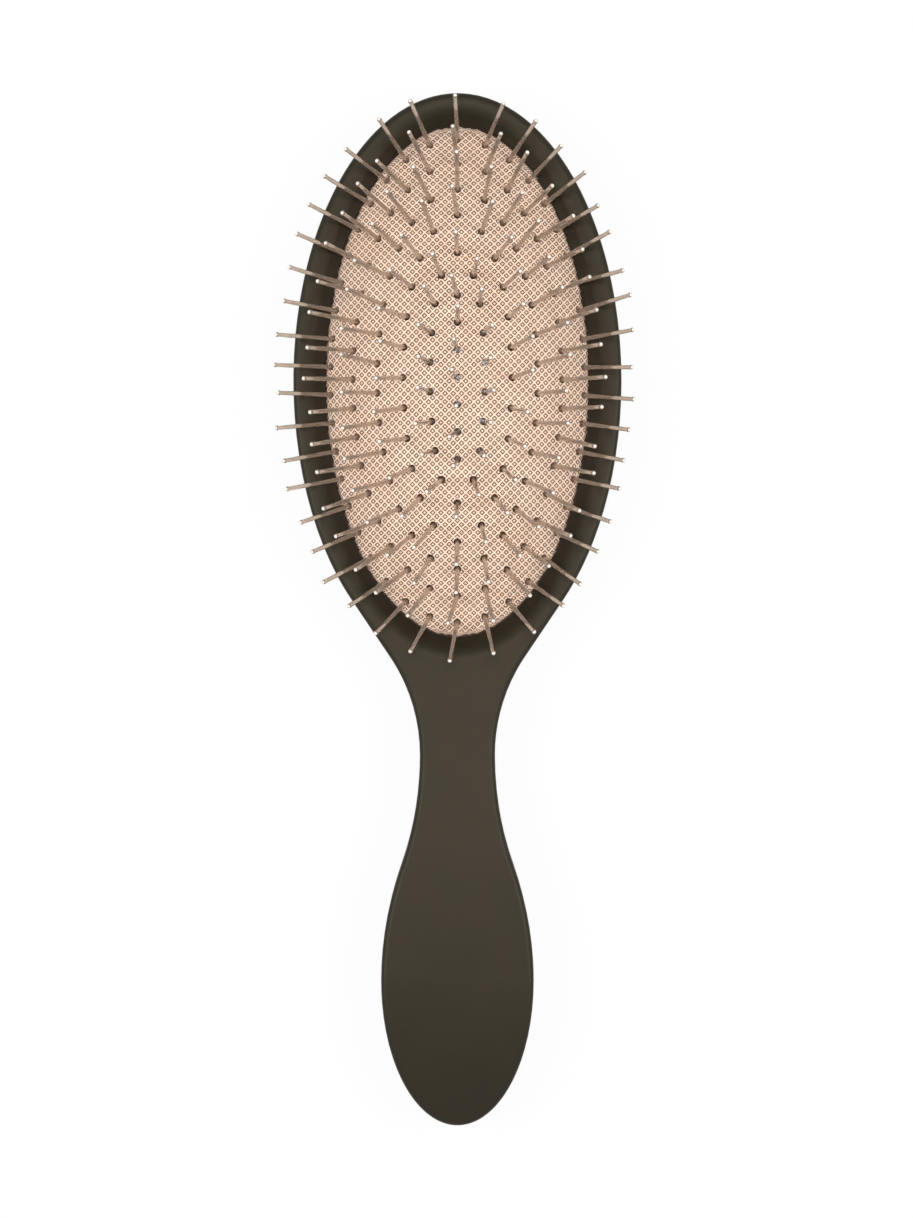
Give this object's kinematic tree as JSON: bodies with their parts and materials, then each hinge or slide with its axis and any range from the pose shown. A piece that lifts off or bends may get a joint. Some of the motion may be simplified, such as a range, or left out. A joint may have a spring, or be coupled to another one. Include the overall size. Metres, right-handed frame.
{
  "type": "detangling brush",
  "caption": "Oval-headed hair brush with a waisted handle, a domed rubber cushion and ball-tipped nylon bristles that sink with the cushion when pressed.",
  "frame": {"origin": "on the surface that the back rests on, under the middle of the brush", "axes": "+Z the way the bristles point, +Y from the handle towards the tip of the head, +X across the head"},
  "size_m": [0.0768, 0.224, 0.0384],
  "materials": {
    "casing": "soft-touch matte",
    "ring": "plain moulded",
    "pad": "matte, with a fine lattice",
    "bristle": "smoky clear nylon"
  },
  "bodies": {
    "casing": {"front_shell": "casing", "back_shell": "casing", "clamp_ring": "ring", "cushion_pad": "pad"},
    "bristle_centre_row": {"centre_row_bristles": "bristle"},
    "bristle_row_5": {"row_5_bristles_01": "bristle", "row_5_bristles_02": "bristle", "row_5_bristles_03": "bristle", "row_5_bristles_04": "bristle", "row_5_bristles_05": "bristle", "row_5_bristles_06": "bristle"},
    "bristle_row_4": {"row_4_bristles_01": "bristle", "row_4_bristles_02": "bristle", "row_4_bristles_03": "bristle", "row_4_bristles_04": "bristle", "row_4_bristles_05": "bristle", "row_4_bristles_06": "bristle", "row_4_bristles_07": "bristle", "row_4_bristles_08": "bristle"},
    "bristle_row_3": {"row_3_bristles_01": "bristle", "row_3_bristles_02": "bristle", "row_3_bristles_03": "bristle", "row_3_bristles_04": "bristle", "row_3_bristles_05": "bristle", "row_3_bristles_06": "bristle", "row_3_bristles_07": "bristle", "row_3_bristles_08": "bristle", "row_3_bristles_09": "bristle", "row_3_bristles_10": "bristle"},
    "bristle_row_2": {"row_2_bristles_01": "bristle", "row_2_bristles_02": "bristle", "row_2_bristles_03": "bristle", "row_2_bristles_04": "bristle", "row_2_bristles_05": "bristle", "row_2_bristles_06": "bristle", "row_2_bristles_07": "bristle", "row_2_bristles_08": "bristle", "row_2_bristles_09": "bristle", "row_2_bristles_10": "bristle", "row_2_bristles_11": "bristle", "row_2_bristles_12": "bristle"},
    "bristle_row_1": {"row_1_bristles_01": "bristle", "row_1_bristles_02": "bristle", "row_1_bristles_03": "bristle", "row_1_bristles_04": "bristle", "row_1_bristles_05": "bristle", "row_1_bristles_06": "bristle", "row_1_bristles_07": "bristle", "row_1_bristles_08": "bristle", "row_1_bristles_09": "bristle", "row_1_bristles_10": "bristle", "row_1_bristles_11": "bristle", "row_1_bristles_12": "bristle", "row_1_bristles_13": "bristle", "row_1_bristles_14": "bristle"}
  },
  "joints": [
    {"name": "cushion_press", "type": "slide", "parent": "casing", "child": "bristle_centre_row", "axis": [0, 0, 1], "range_m": [-0.005, 0], "stiffness_N_per_m": 1500, "deforming": ["cushion_pad"]},
    {"name": "row_5_press", "type": "slide", "parent": "casing", "child": "bristle_row_5", "axis": [0, 0, 1], "range_m": [-0.00435, 0], "deforming": ["cushion_pad"]},
    {"name": "row_4_press", "type": "slide", "parent": "casing", "child": "bristle_row_4", "axis": [0, 0, 1], "range_m": [-0.0037, 0], "deforming": ["cushion_pad"]},
    {"name": "row_3_press", "type": "slide", "parent": "casing", "child": "bristle_row_3", "axis": [0, 0, 1], "range_m": [-0.00285, 0], "deforming": ["cushion_pad"]},
    {"name": "row_2_press", "type": "slide", "parent": "casing", "child": "bristle_row_2", "axis": [0, 0, 1], "range_m": [-0.0018, 0], "deforming": ["cushion_pad"]},
    {"name": "row_1_press", "type": "slide", "parent": "casing", "child": "bristle_row_1", "axis": [0, 0, 1], "range_m": [-0.0005, 0], "deforming": ["cushion_pad"]}
  ],
  "couplings": [
    {"joint": "row_5_press", "follows": "cushion_press", "ratio": 0.87},
    {"joint": "row_4_press", "follows": "cushion_press", "ratio": 0.74},
    {"joint": "row_3_press", "follows": "cushion_press", "ratio": 0.57},
    {"joint": "row_2_press", "follows": "cushion_press", "ratio": 0.36},
    {"joint": "row_1_press", "follows": "cushion_press", "ratio": 0.1}
  ]
}
